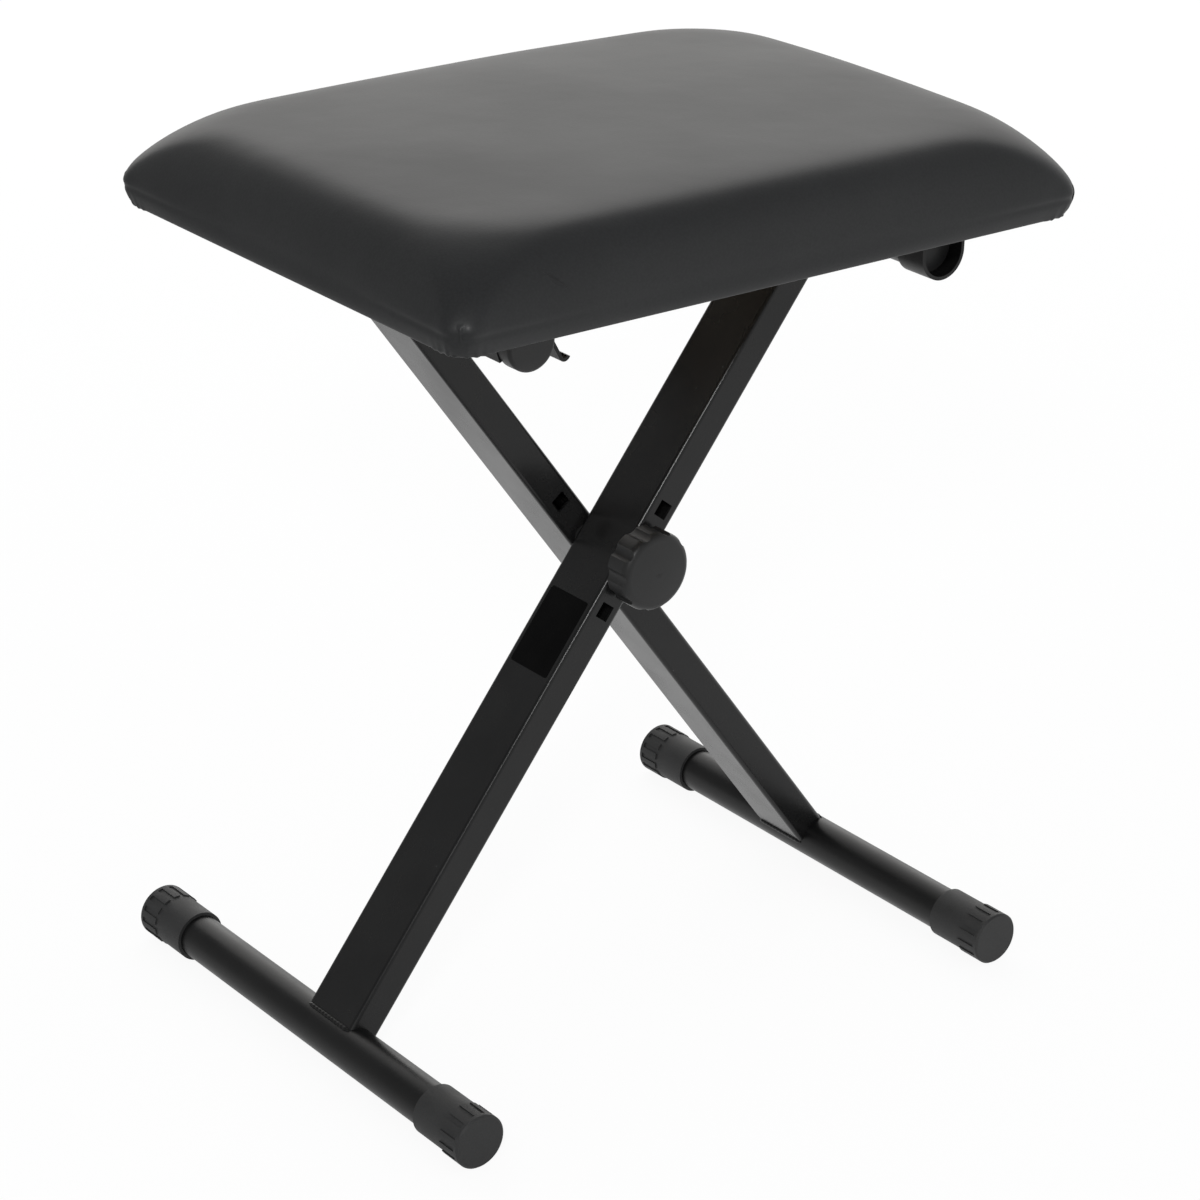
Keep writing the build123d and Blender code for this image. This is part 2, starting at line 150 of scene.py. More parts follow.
world = bpy.data.worlds.new("white_studio")
scene.world = world
world.use_nodes = True
tree = world.node_tree
tree.nodes.clear()
ambient = tree.nodes.new("ShaderNodeBackground")
ambient.inputs["Color"].default_value = ambient_tint
ambient.inputs["Strength"].default_value = ambient_strength
direction = tree.nodes.new("ShaderNodeTexCoord").outputs["Generated"]
height = tree.nodes.new("ShaderNodeSeparateXYZ")
tree.links.new(direction, height.inputs["Vector"])
sweep = tree.nodes.new("ShaderNodeValToRGB")
sweep.color_ramp.interpolation = "EASE"
sweep.color_ramp.elements[0].position = sweep_top
sweep.color_ramp.elements[0].color = (1.0, 1.0, 1.0, 1.0)
sweep.color_ramp.elements[1].position = ceiling_start
sweep.color_ramp.elements[1].color = ceiling_tone
tree.links.new(height.outputs["Z"], sweep.inputs["Fac"])
shaded = tree.nodes.new("ShaderNodeVectorMath")
shaded.operation = "MULTIPLY"
tree.links.new(sweep.outputs["Color"], shaded.inputs[0])
tree.links.new(shaded_left(tree, height.outputs["X"], world_shade), shaded.inputs[1])
white = tree.nodes.new("ShaderNodeBackground")
tree.links.new(white_to_camera(tree, shaded.outputs[0]), white.inputs["Color"])
mix = tree.nodes.new("ShaderNodeMixShader")
out = tree.nodes.new("ShaderNodeOutputWorld")
tree.links.new(seen_directly(tree), mix.inputs["Fac"])
tree.links.new(ambient.outputs[0], mix.inputs[1])
tree.links.new(white.outputs[0], mix.inputs[2])
tree.links.new(mix.outputs[0], out.inputs["Surface"])

floor_mesh = bpy.data.meshes.new("floor")
quarter_signs = ((-1, -1), (1, -1), (1, 1), (-1, 1))
floor_corners = [(sx * floor_half_size, sy * floor_half_size, 0.0) for sx, sy in quarter_signs]
floor_mesh.from_pydata(floor_corners, [], [(0, 1, 2, 3)])
floor = bpy.data.objects.new("floor", floor_mesh)
scene.collection.objects.link(floor)
floor_paper = bpy.data.materials.new("floor_paper")
floor_paper.use_nodes = True
tree = floor_paper.node_tree
tree.nodes.clear()
matt = tree.nodes.new("ShaderNodeBsdfDiffuse")
matt.inputs["Color"].default_value = floor_tint
glow = tree.nodes.new("ShaderNodeEmission")
floor_place = tree.nodes.new("ShaderNodeSeparateXYZ")
tree.links.new(tree.nodes.new("ShaderNodeTexCoord").outputs["Object"], floor_place.inputs["Vector"])
floor_glow = white_to_camera(tree, shaded_left(tree, floor_place.outputs["X"], floor_shade))
tree.links.new(floor_glow, glow.inputs["Color"])
share = tree.nodes.new("ShaderNodeMath")
share.operation = "MULTIPLY"
share.inputs[1].default_value = floor_white_share
mix = tree.nodes.new("ShaderNodeMixShader")
out = tree.nodes.new("ShaderNodeOutputMaterial")
tree.links.new(seen_directly(tree), share.inputs[0])
tree.links.new(share.outputs[0], mix.inputs["Fac"])
tree.links.new(matt.outputs[0], mix.inputs[1])
tree.links.new(glow.outputs[0], mix.inputs[2])
tree.links.new(mix.outputs[0], out.inputs["Surface"])
floor_mesh.materials.append(floor_paper)
print("floor:", 2 * floor_half_size, "m square")

# %% [markdown]
# ## Soft lamps
# Two softboxes do what a photographer would: a key near the camera, whose mirror image draws the thin bright
# line on each rounded leg edge, and a wide one behind that lies on the seat's top as a grey sheen. Area lamps
# are used because their size sets how soft the highlights are.

# %% Softboxes


def softbox(name, place, aim, width, height, power, tint):
    """A rectangular lamp that faces a point and isn't seen by the camera."""
    lamp = bpy.data.lights.new(name, "AREA")
    lamp.shape = "RECTANGLE"
    lamp.size = width
    lamp.size_y = height
    lamp.energy = power
    lamp.color = tint
    holder = bpy.data.objects.new(name, lamp)
    holder.location = place
    holder.rotation_mode = "QUATERNION"
    holder.rotation_quaternion = (Vector(aim) - Vector(place)).to_track_quat("-Z", "Y")
    holder.visible_camera = False
    scene.collection.objects.link(holder)
    return holder


seat_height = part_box("seat_cover")[1].z
crossing_aim = (0.0, 0.0, seat_height / 2)
seat_aim = (0.0, 0.0, seat_height)
neutral_light = (1.0, 1.0, 1.0)
warm_light = (1.0, 0.98, 0.95)
softbox("key_softbox", (-1.7, -1.8, 1.8), crossing_aim, width=0.3, height=0.3, power=30.0, tint=neutral_light)
softbox("sheen_softbox", (1.5, 2.2, 1.7), seat_aim, width=4.4, height=2.8, power=56.0, tint=warm_light)

# %% [markdown]
# ## How a finish is built
# Every finish is one Principled shader fed by a few noise textures in the object's own metres, so grain keeps
# its real size and moves with the piece. Small helpers add one thing each: a grain, a colour that drifts
# between two tones, a roughness that drifts between two values, and a shallow relief. Image textures would
# need unwrapped pieces and files; noise needs neither.

# %% Helpers for finishes


def new_finish(name):
    """A material with its Principled shader, ready for grains."""
    finish = bpy.data.materials.new(name)
    finish.use_nodes = True
    return finish


def shader_of(finish):
    """The finish's Principled shader node."""
    return finish.node_tree.nodes["Principled BSDF"]


def own_place(finish, stretch=(1.0, 1.0, 1.0)):
    """Places on the piece in metres, stretched for grain that runs one way."""
    tree = finish.node_tree
    place = tree.nodes.new("ShaderNodeTexCoord").outputs["Object"]
    if stretch == (1.0, 1.0, 1.0):
        return place
    mapping = tree.nodes.new("ShaderNodeMapping")
    mapping.inputs["Scale"].default_value = stretch
    tree.links.new(place, mapping.inputs["Vector"])
    return mapping.outputs["Vector"]


def cloudy(finish, feature_mm, detail=3.0, stretch=(1.0, 1.0, 1.0)):
    """Soft noise whose blotches are about that many millimetres across."""
    noise = finish.node_tree.nodes.new("ShaderNodeTexNoise")
    noise.inputs["Scale"].default_value = 1.0 / (feature_mm * MM)
    noise.inputs["Detail"].default_value = detail
    finish.node_tree.links.new(own_place(finish, stretch), noise.inputs["Vector"])
    return noise.outputs["Fac"]


def pebbled(finish, feature_mm, output="Distance"):
    """Rounded cells about that many millimetres across, as in pressed grain."""
    cells = finish.node_tree.nodes.new("ShaderNodeTexVoronoi")
    cells.inputs["Scale"].default_value = 1.0 / (feature_mm * MM)
    finish.node_tree.links.new(own_place(finish), cells.inputs["Vector"])
    return cells.outputs[output]


def ranged(finish, value, from_low, from_high, to_low, to_high):
    """A value stretched from one range onto another, and held inside it."""
    stretch = finish.node_tree.nodes.new("ShaderNodeMapRange")
    stretch.inputs["From Min"].default_value = from_low
    stretch.inputs["From Max"].default_value = from_high
    stretch.inputs["To Min"].default_value = to_low
    stretch.inputs["To Max"].default_value = to_high
    finish.node_tree.links.new(value, stretch.inputs["Value"])
    return stretch.outputs["Result"]


def combined(finish, operation, first, second):
    """Two values joined by one sum; the second may be a plain number."""
    sum_node = finish.node_tree.nodes.new("ShaderNodeMath")
    sum_node.operation = operation
    finish.node_tree.links.new(first, sum_node.inputs[0])
    if isinstance(second, (int, float)):
        sum_node.inputs[1].default_value = second
    else:
        finish.node_tree.links.new(second, sum_node.inputs[1])
    return sum_node.outputs["Value"]


def tones(finish, factor, *stops):
    """Colour that runs through the given tones as the factor goes from 0 to 1."""
    ramp = finish.node_tree.nodes.new("ShaderNodeValToRGB")
    band = ramp.color_ramp
    while len(band.elements) < len(stops):
        band.elements.new(0.5)
    for element, (place, tone) in zip(band.elements, stops):
        element.position = place
        element.color = (*tone, 1.0)
    finish.node_tree.links.new(factor, ramp.inputs["Fac"])
    finish.node_tree.links.new(ramp.outputs["Color"], shader_of(finish).inputs["Base Color"])
    return ramp.outputs["Color"]


def rough(finish, factor, low, high):
    """Roughness that drifts between two values."""
    drift = ranged(finish, factor, 0.3, 0.7, low, high)
    finish.node_tree.links.new(drift, shader_of(finish).inputs["Roughness"])


def relief(finish, height, depth_mm, strength=1.0):
    """A shallow relief of that depth, added over any relief that the finish has already."""
    bump = finish.node_tree.nodes.new("ShaderNodeBump")
    bump.inputs["Strength"].default_value = strength
    bump.inputs["Distance"].default_value = depth_mm * MM
    finish.node_tree.links.new(height, bump.inputs["Height"])
    normal = shader_of(finish).inputs["Normal"]
    if normal.is_linked:
        finish.node_tree.links.new(normal.links[0].from_socket, bump.inputs["Normal"])
    finish.node_tree.links.new(bump.outputs["Normal"], normal)


def grey(level, warmth=0.0):
    """A nearly neutral tone; warmth leans it to brown, and below nought to blue."""
    return (level * (1 + warmth), level, level * (1 - warmth))


print("helpers ready")

# %% [markdown]
# ## Black powder coat
# The legs, bars and brackets are powder coated: a thin plastic skin with a faint orange peel, a little
# shinier where it flowed well, and with a few dust specks baked in. Its low index of refraction keeps faces
# seen square-on dark, while faces seen at a slant mirror the white floor, as the rear leg does.

# %% Powder coat


def powder_coat(name, level, rough_low, rough_high, speck_share):
    """Black powder coat with orange peel, drifting gloss and a few pale specks."""
    coat = new_finish(name)
    shader_of(coat).inputs["IOR"].default_value = 1.33
    drift = cloudy(coat, 38.0, detail=4.0)
    fine = cloudy(coat, 1.1, detail=2.0)
    specks = ranged(coat, pebbled(coat, 9.0), 0.03, 0.05, 1.0, 0.0)
    chance = combined(coat, "GREATER_THAN", cloudy(coat, 30.0), 1.0 - speck_share)
    shade = combined(coat, "MULTIPLY", drift, 0.8)
    shade = combined(coat, "MAXIMUM", shade, combined(coat, "MULTIPLY", specks, chance))
    tones(coat, shade, (0.2, grey(level * 0.8)), (0.7, grey(level * 1.25)), (1.0, grey(level * 8)))
    rough(coat, drift, rough_low, rough_high)
    relief(coat, fine, 0.03, 0.5)
    relief(coat, cloudy(coat, 3.2, detail=1.0), 0.05, 0.4)
    return coat


leg_paint = powder_coat("leg_paint", 0.0085, 0.22, 0.30, 0.42)
bar_paint = powder_coat("bar_paint", 0.005, 0.32, 0.42, 0.46)
bracket_paint = powder_coat("bracket_paint", 0.006, 0.36, 0.46, 0.40)
print("powder coats:", leg_paint.name, bar_paint.name, bracket_paint.name)

# %% [markdown]
# ## Rubber and moulded plastic
# The foot caps are soft black rubber, a little greyer and duller than paint. The knob and the end caps are
# moulded plastic with a spark-eroded texture from the mould. Both are the same recipe with another grain:
# a fine noise for the surface and a slow one for handling marks.

# %% Rubber and plastic


def moulded(name, level, rough_low, rough_high, grain_mm, grain_depth_mm):
    """Moulded black plastic or rubber with a fine eroded grain and duller patches."""
    plastic = new_finish(name)
    shader_of(plastic).inputs["IOR"].default_value = 1.36
    patches = cloudy(plastic, 14.0, detail=5.0)
    grain = cloudy(plastic, grain_mm, detail=3.0)
    tones(plastic, combined(plastic, "MULTIPLY", combined(plastic, "ADD", patches, grain), 0.5),
          (0.3, grey(level * 0.75)), (0.7, grey(level * 1.3)))
    rough(plastic, patches, rough_low, rough_high)
    relief(plastic, grain, grain_depth_mm, 0.6)
    return plastic


foot_rubber = moulded("foot_rubber", 0.022, 0.50, 0.62, 0.9, 0.05)
end_plastic = moulded("end_plastic", 0.018, 0.38, 0.50, 0.6, 0.03)
knob_plastic = moulded("knob_plastic", 0.013, 0.36, 0.46, 0.5, 0.03)
spacer_plastic = moulded("spacer_plastic", 0.02, 0.40, 0.50, 0.8, 0.02)
print("moulded finishes:", foot_rubber.name, end_plastic.name, knob_plastic.name, spacer_plastic.name)

# %% [markdown]
# ## Bare metal
# The bolt, the screws and the staples are zinc plated, with a faintly blotched passivation, and the insert
# in the knob is turned brass. Metal needs the metallic switch and a tinted base; the blotches only shift its
# roughness and tone a little.

# %% Zinc and brass


def bare_metal(name, dark, light, rough_low, rough_high, blotch_mm):
    """Plated or turned metal with blotches of tone and gloss."""
    metal = new_finish(name)
    shader_of(metal).inputs["Metallic"].default_value = 1.0
    blotch = cloudy(metal, blotch_mm, detail=5.0)
    tones(metal, blotch, (0.3, dark), (0.7, light))
    rough(metal, blotch, rough_low, rough_high)
    relief(metal, cloudy(metal, 0.4), 0.01, 0.5)
    return metal


zinc_steel = bare_metal("zinc_steel", (0.42, 0.43, 0.44), (0.62, 0.62, 0.60), 0.24, 0.42, 3.0)
insert_brass = bare_metal("insert_brass", (0.60, 0.42, 0.18), (0.78, 0.58, 0.28), 0.22, 0.36, 2.0)
print("metals:", zinc_steel.name, insert_brass.name)

# %% [markdown]
# ## Plywood
# The board under the seat is plain plywood. Its face veneer has long grain along X with darker streaks and a
# few fine pores. Noise stretched to a twentieth along X gives the streaks; a wave texture would look combed.

# %% Plywood
grain_stretch = (0.05, 1.0, 1.0)
plywood = new_finish("board_wood")
streaks = cloudy(plywood, 7.0, detail=6.0, stretch=grain_stretch)
pores = cloudy(plywood, 0.8, detail=2.0, stretch=grain_stretch)
tones(plywood, streaks, (0.25, (0.24, 0.18, 0.12)),
      (0.5, (0.36, 0.29, 0.21)), (0.8, (0.45, 0.38, 0.29)))
rough(plywood, pores, 0.62, 0.78)
relief(plywood, pores, 0.12, 0.6)
print("board finish:", plywood.name)

# %% [markdown]
# ## Leatherette
# The cover is black vinyl with a pressed pebble grain under a satin lacquer. Seen at a slant it turns grey,
# because the lacquer mirrors the white studio. The grain is rounded cells broken up by noise; a slow noise
# lets the sheen drift a little, as on a cover that has been stretched by hand. One short crease on the front
# side, near the left corner, shows where the sheet was pulled; it is finer than the mesh, so it is a relief.

# %% Leatherette
crease_top = Vector((-149.0 * MM, 0.0, 481.0 * MM))
crease_foot = Vector((-135.0 * MM, 0.0, 470.5 * MM))
crease_half_width = 1.8 * MM
crease_front = -0.11


def vector_sum(finish, operation, first, second):
    """Two vectors joined by one sum; the second is plain numbers."""
    sum_node = finish.node_tree.nodes.new("ShaderNodeVectorMath")
    sum_node.operation = operation
    finish.node_tree.links.new(first, sum_node.inputs[0])
    sum_node.inputs[1].default_value = second
    return sum_node


def front_crease(finish):
    """1 on a short line on the front side, falling to 0 beside it and everywhere else."""
    line = crease_foot - crease_top
    flat = vector_sum(finish, "MULTIPLY", own_place(finish), (1.0, 0.0, 1.0)).outputs["Vector"]
    from_top = vector_sum(finish, "SUBTRACT", flat, crease_top).outputs["Vector"]
    along = vector_sum(finish, "DOT_PRODUCT", from_top, line.normalized()).outputs["Value"]
    beside = Vector((line.z, 0.0, -line.x)).normalized()
    away = vector_sum(finish, "DOT_PRODUCT", from_top, beside).outputs["Value"]
    away = combined(finish, "ABSOLUTE", away, 0.0)
    off_middle = combined(finish, "ABSOLUTE", combined(finish, "SUBTRACT", along, line.length / 2), 0.0)
    past_end = ranged(finish, off_middle, 0.0, line.length / 2, 0.0, crease_half_width)
    height = ranged(finish, combined(finish, "ADD", away, past_end), 0.0, crease_half_width, 1.0, 0.0)
    behind = vector_sum(finish, "DOT_PRODUCT", own_place(finish), (0.0, 1.0, 0.0)).outputs["Value"]
    return combined(finish, "MULTIPLY", height, combined(finish, "LESS_THAN", behind, crease_front))


leatherette = new_finish("leatherette")
shader_of(leatherette).inputs["IOR"].default_value = 1.35
shader_of(leatherette).inputs["Coat Weight"].default_value = 0.10
shader_of(leatherette).inputs["Coat Roughness"].default_value = 0.28
wander = cloudy(leatherette, 80.0, detail=2.0)
pebble = pebbled(leatherette, 1.5)
creases = cloudy(leatherette, 0.8, detail=3.0)
tones(leatherette, combined(leatherette, "MULTIPLY", combined(leatherette, "ADD", pebble, wander), 0.6),
      (0.2, grey(0.015, -0.04)), (0.8, grey(0.011, -0.04)))
rough(leatherette, wander, 0.58, 0.61)
relief(leatherette, pebble, 0.05, 0.5)
relief(leatherette, creases, 0.03, 0.5)
relief(leatherette, cloudy(leatherette, 38.0, detail=2.0), 0.9, 0.6)
relief(leatherette, front_crease(leatherette), 1.3)
print("cover finish:", leatherette.name)

# %% [markdown]
# ## Dressing the CAD pieces
# The record already says which material slot each piece belongs to, so one table from slot to finish
# dresses all the rigid pieces. Their shapes are right as they are and stay untouched.

# %% Give every CAD node its finish
finish_of_slot = {
    "leg_paint": leg_paint,
    "bar_paint": bar_paint,
    "bracket_paint": bracket_paint,
    "foot_rubber": foot_rubber,
    "end_plastic": end_plastic,
    "knob_plastic": knob_plastic,
    "spacer_plastic": spacer_plastic,
    "zinc_steel": zinc_steel,
    "insert_brass": insert_brass,
    "board_wood": plywood,
    "foam": leatherette,
    "leatherette": leatherette,
}
slot_of_node = {part["node"]: part["material_slot"] for part in frame["record"]["subparts"]}
for name, piece in nodes.items():
    piece.data.materials.clear()
    piece.data.materials.append(finish_of_slot[slot_of_node[name]])
print("dressed:", len(nodes), "nodes in", len(set(slot_of_node.values())), "finishes")

# %% [markdown]
# ## Seat: sizes from the frame
# On the real seat a vinyl sheet is pulled over crowned foam and a board, turned under and stapled. The foam
# swells past the board's edge, so the side has a flat lower band, a small lip above it and a round shoulder.
# At the corners the gathered sheet fills out the board's rounding, so the skirt turns tighter than the board.
# The outline comes from the CAD cover's box; the rest are the upholsterer's sizes.

# %% Seat sizes
cover_low, cover_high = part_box("seat_cover")
board_low, board_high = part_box("seat_board")
seat_middle_x = (cover_low.x + cover_high.x) / 2
half_length = (cover_high.x - cover_low.x) / 2
half_width = (cover_high.y - cover_low.y) / 2
board_half_length = (board_high.x - board_low.x) / 2
board_half_width = (board_high.y - board_low.y) / 2
cover_thickness = board_low.z - cover_low.z
cavity_clearance = 0.2 * MM
cavity_inset = half_length - board_half_length - cavity_clearance
skirt_inset = cavity_inset - cover_thickness
board_corner_radius = 21.0 * MM
gather_radius = board_corner_radius + cavity_clearance + cover_thickness
skirt_radius = 13.0 * MM
least_hem_radius = 4.0 * MM
hem_width = 18.0 * MM
hem_gap = 0.02 * MM
hem_edge_inset = 0.3 * MM
hem_edge_rise = 0.5 * MM
lip_height = cover_low.z + 13.6 * MM
side_pull = 2.7 * MM
pull_above_hem = 3.0 * MM
pull_from_side = 30.0 * MM
pull_full_at = 8.0 * MM
pull_middle_share = 0.25
shoulder_reach = 28.0 * MM
side_roundness = 1.85
corner_roundness = 1.45
corner_mix = (0.15, 0.95)
shoulder_steps = 18
crown_rise = 3.0 * MM
crown_reach = 78.0 * MM
crown_steps = 8
corner_growth = 1.7
soften_passes = 10
round_passes = 12
held_rings = 4.0
straight_steps = (66, 46)
half_corner_steps = 14
# the skirt from its foot to the lip: share of the lip's overhang, and rise above the hem
skirt_profile_mm = (
    (1.20, 0.2), (1.00, 1.0), (0.84, 2.4), (0.66, 4.2), (0.46, 6.2),
    (0.28, 8.2), (0.12, 10.2), (0.02, 12.0),
)
hem_insets_mm = (21.0, 18.0, 14.0, 10.0, 7.0)
print("seat outline:", round(2 * half_length / MM, 1), "by", round(2 * half_width / MM, 1), "mm")

# %% [markdown]
# ## Seat: a closed form of rings
# The cushion is built from rings that run round the seat, each a rounded rectangle with its own inset, height
# and corner radius: up inside over the board, under the hem, up the skirt, over the lip and the shoulder to
# the crown. A patch of quads closes the crown and the hollow for the board. A voxel remesh of a block would
# be quicker to write, but it would lose the thin hem and the even flow of quads round the corners.

# %% Rings of the cushion


def outline_points(half_x, half_y, radius, height):
    """Points round a level rounded rectangle, from the middle of the front left corner, anticlockwise."""
    centres = [np.array((sx * (half_x - radius), sy * (half_y - radius))) for sx, sy in quarter_signs]
    points = []
    for side in range(4):
        here = centres[side]
        there = centres[(side + 1) % 4]
        facing = math.radians(270 + 90 * side)
        straight = straight_steps[side % 2]
        for step in range(half_corner_steps):
            angle = facing - math.radians(45) * (1 - step / half_corner_steps)
            points.append(here + radius * np.array((math.cos(angle), math.sin(angle))))
        for step in range(straight):
            middle = here + (there - here) * step / straight
            points.append(middle + radius * np.array((math.cos(facing), math.sin(facing))))
        for step in range(half_corner_steps):
            angle = facing + math.radians(45) * step / half_corner_steps
            points.append(there + radius * np.array((math.cos(angle), math.sin(angle))))
    return np.column_stack((np.array(points), np.full(len(points), height)))


def even_rectangle(half_x, half_y, height):
    """As many points as an outline has, evenly spaced round a level rectangle."""
    corners = np.array(((-half_x, -half_y), (half_x, -half_y), (half_x, half_y), (-half_x, half_y)))
    points = []
    for side in range(4):
        count = straight_steps[side % 2] + 2 * half_corner_steps
        shares = np.arange(count)[:, None] / count
        points.append(corners[side] + (corners[(side + 1) % 4] - corners[side]) * shares)
    points = np.concatenate(points)
    return np.column_stack((points, np.full(len(points), height)))


def eased(value, low, high):
    """0 below low, 1 above high and a smooth rise between."""
    share = np.clip((value - low) / (high - low), 0.0, 1.0)
    return share * share * (3 - 2 * share)


def seat_ring(inset, height, radius):
    """One ring of the seat, drawn in from the widest line by an inset."""
    return outline_points(half_length - inset, half_width - inset, radius, height)


def hem_ring(inset, height):
    """One ring of the hem, whose corners tighten towards its inner edge."""
    return seat_ring(inset, height, max(skirt_radius - (inset - skirt_inset), least_hem_radius))


def lower_rings():
    """Rings from the hollow for the board and out under the hem."""
    hem_inner = skirt_inset + hem_width
    under_board = board_low.z - hem_gap
    rings = [
        seat_ring(cavity_inset, board_high.z + cavity_clearance, board_corner_radius + cavity_clearance),
        seat_ring(cavity_inset, under_board, board_corner_radius + cavity_clearance),
        hem_ring(hem_inner, under_board),
        hem_ring(hem_inner + hem_edge_inset, cover_low.z + hem_edge_rise),
    ]
    for inset_mm in hem_insets_mm:
        rings.append(hem_ring(inset_mm * MM, cover_low.z))
    return rings


def shoulder_ring(turn, roundness, shoulder_top):
    """A ring of the shoulder; turn goes from upright at the lip to level at the top."""
    inset = shoulder_reach * (1 - max(math.cos(turn), 0.0) ** (2 / roundness))
    height = lip_height + (shoulder_top - lip_height) * math.sin(turn) ** (2 / roundness)
    return seat_ring(inset, height, skirt_radius + corner_growth * inset)


def softened(rings):
    """Rings evened along themselves and with the rings above and below, but held at the skirt's foot."""
    stack = np.array(rings)
    for _ in range(round_passes):
        stack = stack / 2 + (np.roll(stack, 1, axis=1) + np.roll(stack, -1, axis=1)) / 4
    share = eased(np.arange(1, len(stack) - 1), 0.0, held_rings)[:, None, None]
    for _ in range(soften_passes):
        middle = (stack[:-2] + stack[2:]) / 2
        stack[1:-1] += share * (middle - stack[1:-1]) / 2
    return list(stack)


def upper_rings():
    """Rings up the skirt, over the shoulder, fuller along the sides, and in to a grid on the crown."""
    shoulder_top = cover_high.z - crown_rise
    rings = []
    for share, rise_mm in skirt_profile_mm:
        rings.append(seat_ring(share * skirt_inset, cover_low.z + rise_mm * MM, skirt_radius))
    for step in range(shoulder_steps + 1):
        turn = math.radians(90) * step / shoulder_steps
        corner = shoulder_ring(turn, corner_roundness, shoulder_top)
        side = shoulder_ring(turn, side_roundness, shoulder_top)
        along = np.abs(corner[:, 0]) / half_length
        across = np.abs(corner[:, 1]) / half_width
        near_corner = eased(np.minimum(along, across), *corner_mix)
        rings.append(side + (corner - side) * near_corner[:, None])
    edge = rings[-1]
    middle = even_rectangle(half_length - crown_reach, half_width - crown_reach, shoulder_top)
    for step in range(1, crown_steps + 1):
        rings.append(edge + (middle - edge) * step / crown_steps)
    return softened(rings)


def patch_in_ring(ring, first_index, next_index):
    """Quads that fill a ring: inner points blended from its four sides, and the faces' point numbers."""
    along = straight_steps[0] + 2 * half_corner_steps
    across = straight_steps[1] + 2 * half_corner_steps
    closed = np.vstack((ring, ring[:1]))
    front = closed[: along + 1]
    right = closed[along : along + across + 1]
    back = closed[along + across : 2 * along + across + 1][::-1]
    left = closed[2 * along + across :][::-1]
    number = np.zeros((along + 1, across + 1), int)
    number[:, 0] = np.arange(along + 1)
    number[along, :] = along + np.arange(across + 1)
    number[:, across] = along + across + np.arange(along, -1, -1)
    number[0, :] = (2 * along + across + np.arange(across, -1, -1)) % len(ring)
    number += first_index
    inner = []
    for i in range(1, along):
        for j in range(1, across):
            u = i / along
            v = j / across
            edges = (1 - v) * front[i] + v * back[i] + (1 - u) * left[j] + u * right[j]
            corners = ((1 - u) * (1 - v) * front[0] + u * (1 - v) * front[-1]
                       + (1 - u) * v * back[0] + u * v * back[-1])
            number[i, j] = next_index + len(inner)
            inner.append(edges - corners)
    faces = []
    for i in range(along):
        for j in range(across):
            faces.append((number[i, j], number[i + 1, j], number[i + 1, j + 1], number[i, j + 1]))
    return np.array(inner), faces


def pulled_sides(ring):
    """A ring with its lip drawn in along the straight sides, where the sheet was pulled tightest."""
    lip = eased(ring[:, 2], cover_low.z + pull_above_hem, lip_height)
    lip *= 1 - eased(ring[:, 2], lip_height, cover_high.z)
    for axis, half, other_half in ((0, half_length, half_width), (1, half_width, half_length)):
        side = eased(np.abs(ring[:, axis]), half - pull_from_side, half - pull_full_at)
        side *= np.sign(ring[:, axis])
        along_side = np.abs(ring[:, 1 - axis])
        middle = 1 - eased(along_side, pull_middle_share * other_half, other_half - gather_radius)
        ring[:, axis] -= side * middle * lip * side_pull
    return ring


rings = [pulled_sides(ring) for ring in lower_rings() + upper_rings()]
around = len(rings[0])
seat_points = np.vstack(rings)
seat_faces = []
for level in range(len(rings) - 1):
    for step in range(around):
        beside = (step + 1) % around
        lower = level * around
        upper = lower + around
        seat_faces.append((lower + step, lower + beside, upper + beside, upper + step))
hollow_points, hollow_faces = patch_in_ring(rings[0], 0, len(seat_points))
seat_points = np.vstack((seat_points, hollow_points))
seat_faces += [tuple(reversed(face)) for face in hollow_faces]
crown_points, crown_faces = patch_in_ring(rings[-1], (len(rings) - 1) * around, len(seat_points))
seat_points = np.vstack((seat_points, crown_points))
seat_faces += crown_faces
cushion_mesh = bpy.data.meshes.new("seat_cushion")
cushion_mesh.from_pydata(seat_points.tolist(), [], [tuple(int(n) for n in face) for face in seat_faces])
cushion_mesh.update()
cushion = bpy.data.objects.new("seat_cushion", cushion_mesh)
scene.collection.objects.link(cushion)
print("cushion:", len(rings), "rings of", around, "points,", len(seat_faces), "faces")

# %% [markdown]
# ## Seat: filling it
# The form so far has a level top. A cloth simulation with pressure inside fills it as foam fills a cover, and
# the top rises into a crown. The hem and the lower skirt are pinned, because the board holds them. A tight
# cover has no buckles, so only the broad part of the rise is kept: a few slow cosine waves are fitted to it
# and brought to the CAD cover's height.

# %% Fill the cushion
fill_pressure = 4.0
fill_frames = 20
free_above = board_high.z - 1.0 * MM
free_band = 6.0 * MM
top_margin = 0.5 * MM
wave_numbers = ((1, 1), (3, 1), (1, 3), (3, 3))


def points_of(mesh):
    """A mesh's points as an array."""
    flat = np.zeros(3 * len(mesh.vertices))
    mesh.vertices.foreach_get("co", flat)
    return flat.reshape(-1, 3)


def set_points(mesh, points):
    """Moves a mesh's points to new places."""
    mesh.vertices.foreach_set("co", np.asarray(points, dtype=np.float32).ravel())
    mesh.update()


